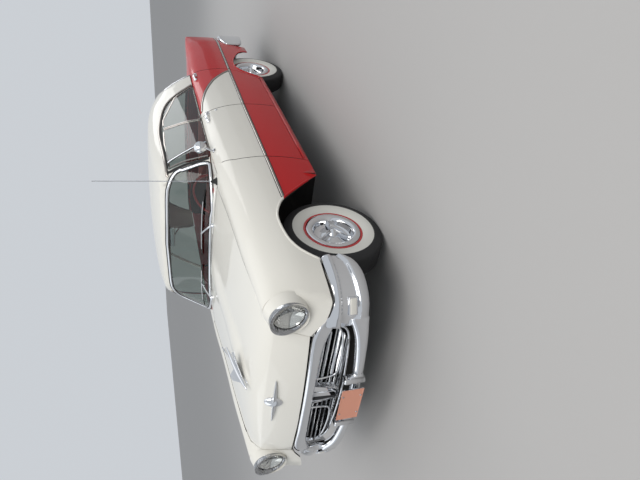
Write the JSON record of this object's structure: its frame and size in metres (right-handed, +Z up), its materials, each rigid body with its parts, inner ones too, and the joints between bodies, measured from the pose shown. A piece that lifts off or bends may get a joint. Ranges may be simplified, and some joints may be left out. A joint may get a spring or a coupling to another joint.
{
  "type": "four-door hardtop sedan",
  "caption": "Two-tone ivory and red 1950s four-door hardtop sedan with pillarless side glass, oval mouth bumper, hooded headlamps, white-wall tyres and a wrap-around windscreen",
  "frame": {"origin": "on the ground, under the centre of the car's box", "axes": "+X to the driver's left side, -Y to the front of the car, +Z up"},
  "size_m": [1.968, 5.166, 1.928],
  "materials": {
    "body_floor": "satin black paint, body colour on its outer edges",
    "chassis_frame": "satin black paint",
    "cowl": "gloss ivory paint",
    "roof": "gloss ivory paint",
    "front_fender_left": "gloss two-tone paint",
    "front_fender_right": "gloss two-tone paint",
    "rear_quarter_left": "gloss two-tone paint",
    "rear_quarter_right": "gloss two-tone paint",
    "hood": "gloss ivory paint",
    "trunk_lid": "gloss red paint",
    "front_door_left": "gloss two-tone paint",
    "front_door_right": "gloss two-tone paint",
    "rear_door_left": "gloss two-tone paint",
    "rear_door_right": "gloss two-tone paint",
    "front_door_glass_left": "clear glass",
    "front_door_glass_right": "clear glass",
    "rear_door_glass_left": "clear glass",
    "rear_door_glass_right": "clear glass",
    "windscreen": "clear glass",
    "rear_window": "clear glass",
    "front_bumper": "polished chrome",
    "grille": "polished chrome bars on a dark back",
    "rear_bumper": "polished chrome",
    "headlamp_bezel_left": "polished chrome",
    "headlamp_bezel_right": "polished chrome",
    "headlamp_lens_left": "clear fluted glass",
    "headlamp_lens_right": "clear fluted glass",
    "tail_lamp_left": "chrome pod with a red lens",
    "tail_lamp_right": "chrome pod with a red lens",
    "dashboard": "satin red paint with chrome trim",
    "steering_wheel": "red and ivory rim, chrome ring",
    "front_seat": "red and ivory upholstery",
    "rear_seat": "red and ivory upholstery",
    "engine": "painted casting",
    "rear_axle": "satin black",
    "knuckle_left": "satin black",
    "knuckle_right": "satin black",
    "antenna": "polished chrome",
    "front_tyre_left": "black rubber with a wide white side wall",
    "front_wheel_left": "red rim with a chrome cover",
    "front_tyre_right": "black rubber with a wide white side wall",
    "front_wheel_right": "red rim with a chrome cover",
    "rear_tyre_left": "black rubber with a wide white side wall",
    "rear_wheel_left": "red rim with a chrome cover",
    "rear_tyre_right": "black rubber with a wide white side wall",
    "rear_wheel_right": "red rim with a chrome cover"
  },
  "bodies": {
    "car_body": {"body_floor": "body_floor", "chassis_frame": "chassis_frame", "cowl": "cowl", "roof": "roof", "front_fender_left": "front_fender_left", "front_fender_right": "front_fender_right", "rear_quarter_left": "rear_quarter_left", "rear_quarter_right": "rear_quarter_right", "windscreen": "windscreen", "rear_window": "rear_window", "front_bumper": "front_bumper", "grille": "grille", "rear_bumper": "rear_bumper", "headlamp_bezel_left": "headlamp_bezel_left", "headlamp_bezel_right": "headlamp_bezel_right", "headlamp_lens_left": "headlamp_lens_left", "headlamp_lens_right": "headlamp_lens_right", "tail_lamp_left": "tail_lamp_left", "tail_lamp_right": "tail_lamp_right", "dashboard": "dashboard", "steering_wheel": "steering_wheel", "front_seat": "front_seat", "rear_seat": "rear_seat", "engine": "engine", "rear_axle": "rear_axle", "antenna": "antenna"},
    "steer_left": {"knuckle_left": "knuckle_left"},
    "steer_right": {"knuckle_right": "knuckle_right"},
    "front_road_wheel_left": {"front_tyre_left": "front_tyre_left", "front_wheel_left": "front_wheel_left"},
    "front_side_door_left": {"front_door_left": "front_door_left", "front_door_glass_left": "front_door_glass_left"},
    "rear_road_wheel_left": {"rear_tyre_left": "rear_tyre_left", "rear_wheel_left": "rear_wheel_left"},
    "rear_side_door_left": {"rear_door_left": "rear_door_left", "rear_door_glass_left": "rear_door_glass_left"},
    "front_road_wheel_right": {"front_tyre_right": "front_tyre_right", "front_wheel_right": "front_wheel_right"},
    "front_side_door_right": {"front_door_right": "front_door_right", "front_door_glass_right": "front_door_glass_right"},
    "rear_road_wheel_right": {"rear_tyre_right": "rear_tyre_right", "rear_wheel_right": "rear_wheel_right"},
    "rear_side_door_right": {"rear_door_right": "rear_door_right", "rear_door_glass_right": "rear_door_glass_right"},
    "hood_lid": {"hood": "hood"},
    "boot_lid": {"trunk_lid": "trunk_lid"}
  },
  "joints": [
    {"name": "steering_left", "type": "hinge", "parent": "car_body", "child": "steer_left", "pos_m": [0.64, -1.753, 0.348], "axis": [0, 0, 1], "range_deg": [-30, 30]},
    {"name": "steering_right", "type": "hinge", "parent": "car_body", "child": "steer_right", "pos_m": [-0.64, -1.753, 0.348], "axis": [0, 0, 1], "range_deg": [-30, 30]},
    {"name": "front_wheel_spin_left", "type": "hinge", "parent": "steer_left", "child": "front_road_wheel_left", "pos_m": [0.745, -1.753, 0.348], "axis": [1, 0, 0], "continuous": true},
    {"name": "rear_wheel_spin_left", "type": "hinge", "parent": "car_body", "child": "rear_road_wheel_left", "pos_m": [0.745, 1.346, 0.348], "axis": [1, 0, 0], "continuous": true},
    {"name": "front_door_swing_left", "type": "hinge", "parent": "car_body", "child": "front_side_door_left", "pos_m": [0.988, -0.96, 0.7], "axis": [0, 0, -1], "range_deg": [0, 62]},
    {"name": "rear_door_swing_left", "type": "hinge", "parent": "car_body", "child": "rear_side_door_left", "pos_m": [0.982, 0.062, 0.7], "axis": [0, 0, -1], "range_deg": [0, 60]},
    {"name": "front_wheel_spin_right", "type": "hinge", "parent": "steer_right", "child": "front_road_wheel_right", "pos_m": [-0.745, -1.753, 0.348], "axis": [1, 0, 0], "continuous": true},
    {"name": "rear_wheel_spin_right", "type": "hinge", "parent": "car_body", "child": "rear_road_wheel_right", "pos_m": [-0.745, 1.346, 0.348], "axis": [1, 0, 0], "continuous": true},
    {"name": "front_door_swing_right", "type": "hinge", "parent": "car_body", "child": "front_side_door_right", "pos_m": [-0.988, -0.96, 0.7], "axis": [0, 0, 1], "range_deg": [0, 62]},
    {"name": "rear_door_swing_right", "type": "hinge", "parent": "car_body", "child": "rear_side_door_right", "pos_m": [-0.982, 0.062, 0.7], "axis": [0, 0, 1], "range_deg": [0, 60]},
    {"name": "hood_swing", "type": "hinge", "parent": "car_body", "child": "hood_lid", "pos_m": [0, -0.98, 1.092], "axis": [-1, 0, 0], "range_deg": [0, 45]},
    {"name": "boot_lid_swing", "type": "hinge", "parent": "car_body", "child": "boot_lid", "pos_m": [0, 1.3, 1.085], "axis": [1, 0, 0], "range_deg": [0, 55]}
  ],
  "couplings": [
    {"joint": "steering_right", "follows": "steering_left", "ratio": 1}
  ]
}
